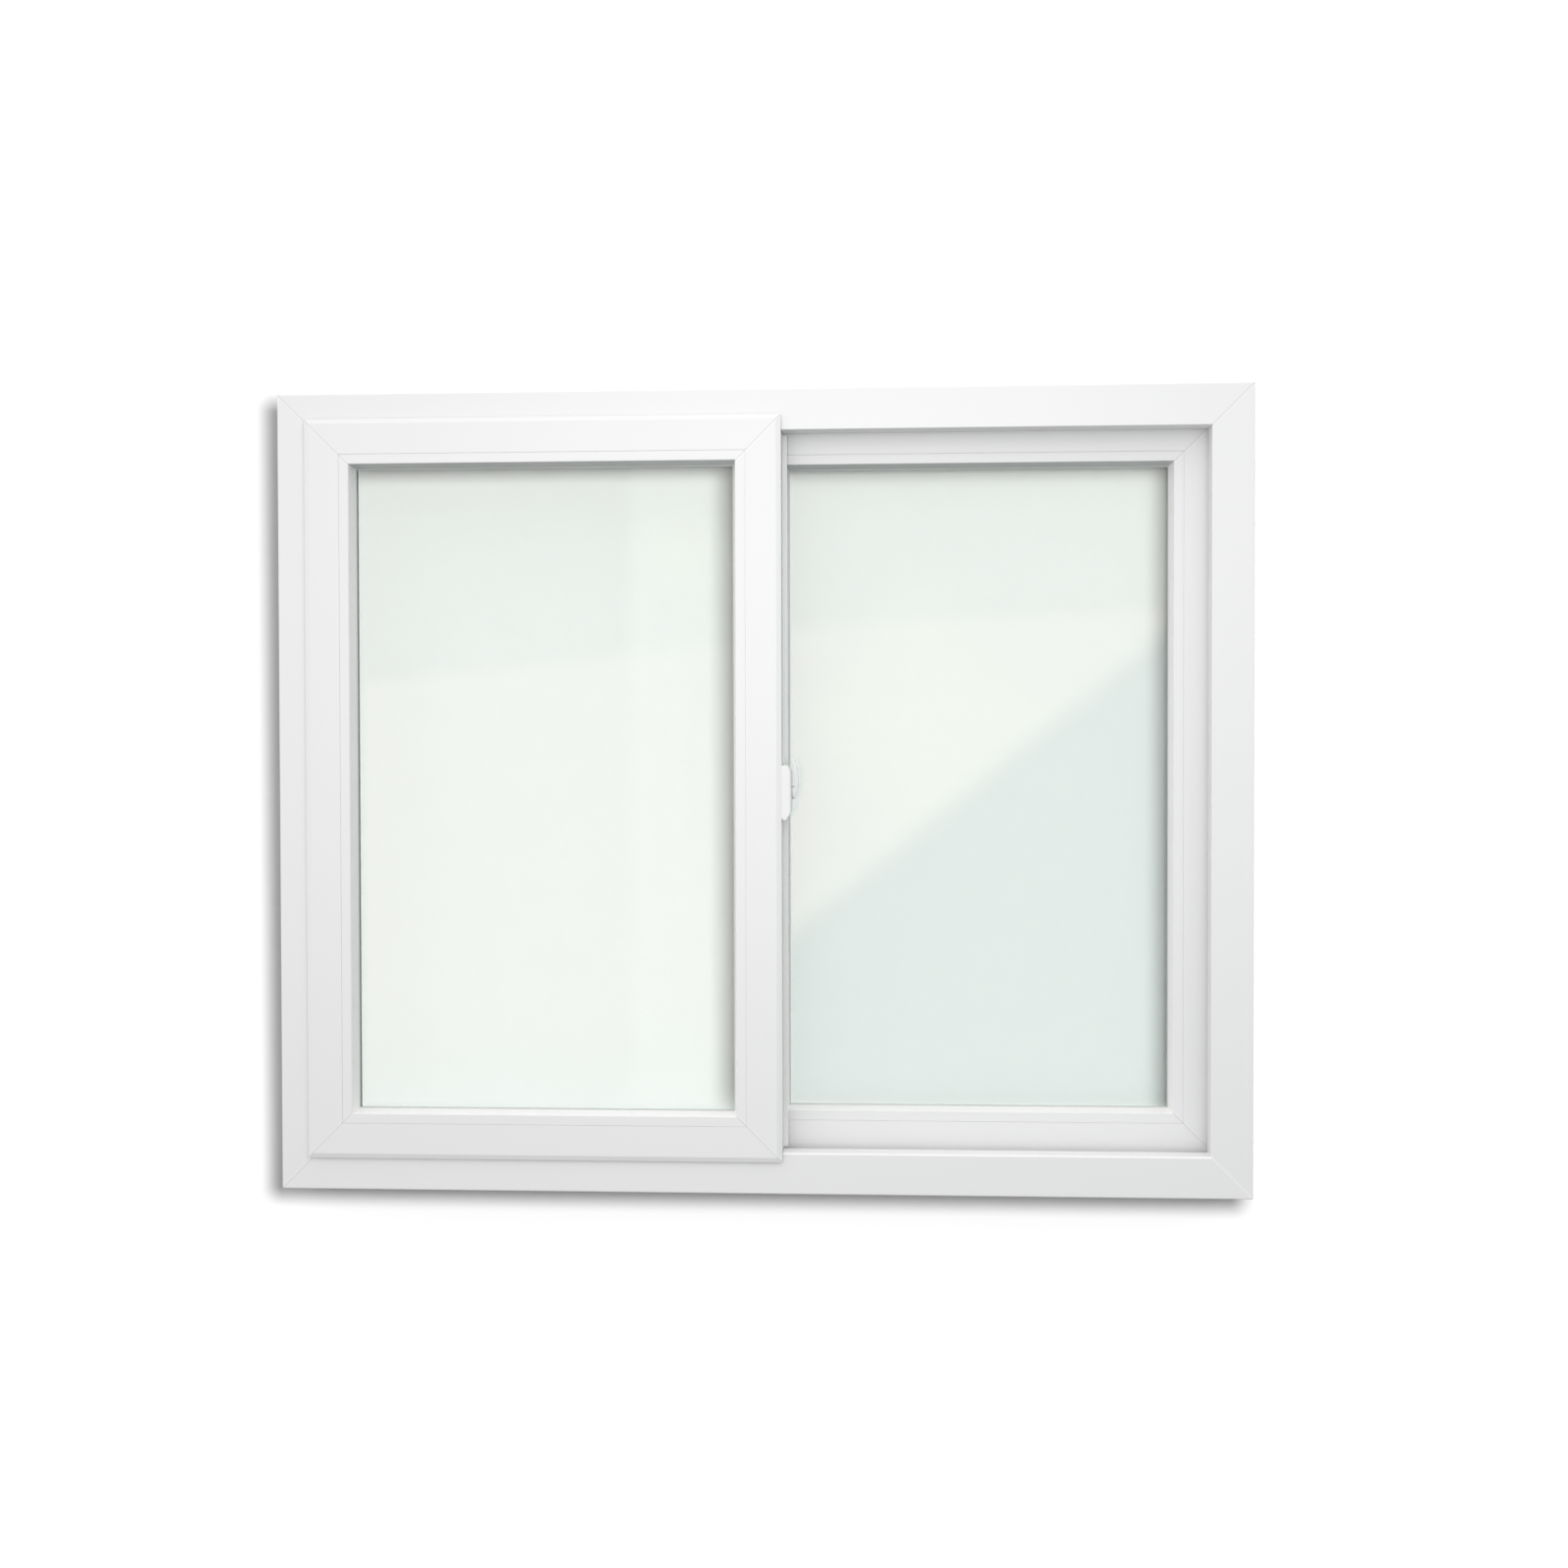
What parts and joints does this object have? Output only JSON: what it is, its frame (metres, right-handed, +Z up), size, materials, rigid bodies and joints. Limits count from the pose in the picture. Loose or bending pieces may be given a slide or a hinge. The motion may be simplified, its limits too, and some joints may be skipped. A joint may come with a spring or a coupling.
{
  "type": "sliding window",
  "caption": "White plastic sliding window: a mitred frame with two rails, a glazed sash on each, one in front of the other, and a crescent lock on the meeting stile.",
  "frame": {"origin": "under the middle of the sill, at the bottom centre of the part's box", "axes": "+Z up, +X to the right as seen from the room, -Y faces the room"},
  "size_m": [1.2, 0.094, 0.99],
  "materials": {
    "upvc": "semi-gloss",
    "lock": "satin",
    "glass": "clear",
    "spacer": "satin",
    "gasket": "matte",
    "pile": "matte",
    "block": "matte",
    "roller": "matte"
  },
  "bodies": {
    "window": {"frame_head": "upvc", "frame_sill": "upvc", "frame_jamb_left": "upvc", "frame_jamb_right": "upvc", "drain_hoods": "upvc", "anti_lift_blocks": "block", "lock_base": "lock", "lock_housing": "lock", "lock_keeper": "lock", "front_sash_top_rail": "upvc", "front_sash_bottom_rail": "upvc", "front_sash_outer_stile": "upvc", "front_sash_meeting_stile": "upvc", "front_sash_bead_top": "upvc", "front_sash_bead_bottom": "upvc", "front_sash_bead_left": "upvc", "front_sash_bead_right": "upvc", "front_sash_stile_cover": "upvc", "front_sash_pane_room": "glass", "front_sash_pane_outdoor": "glass", "front_sash_spacer": "spacer", "front_sash_gaskets": "gasket", "front_sash_setting_blocks": "block", "front_sash_pile_strips": "pile", "front_sash_rollers": "roller", "front_sash_interlock": "upvc", "back_sash_top_rail": "upvc", "back_sash_bottom_rail": "upvc", "back_sash_outer_stile": "upvc", "back_sash_meeting_stile": "upvc", "back_sash_bead_top": "upvc", "back_sash_bead_bottom": "upvc", "back_sash_bead_left": "upvc", "back_sash_bead_right": "upvc", "back_sash_stile_cover": "upvc", "back_sash_pane_room": "glass", "back_sash_pane_outdoor": "glass", "back_sash_spacer": "spacer", "back_sash_gaskets": "gasket", "back_sash_setting_blocks": "block", "back_sash_pile_strips": "pile", "back_sash_rollers": "roller", "back_sash_interlock": "upvc"},
    "lock_lever": {"lock_lever": "lock"}
  },
  "joints": [
    {"name": "lock_turn", "type": "hinge", "parent": "window", "child": "lock_lever", "pos_m": [0.0418, -0.022, 0.495], "axis": [1, 0, 0], "range_deg": [0, 180]}
  ]
}
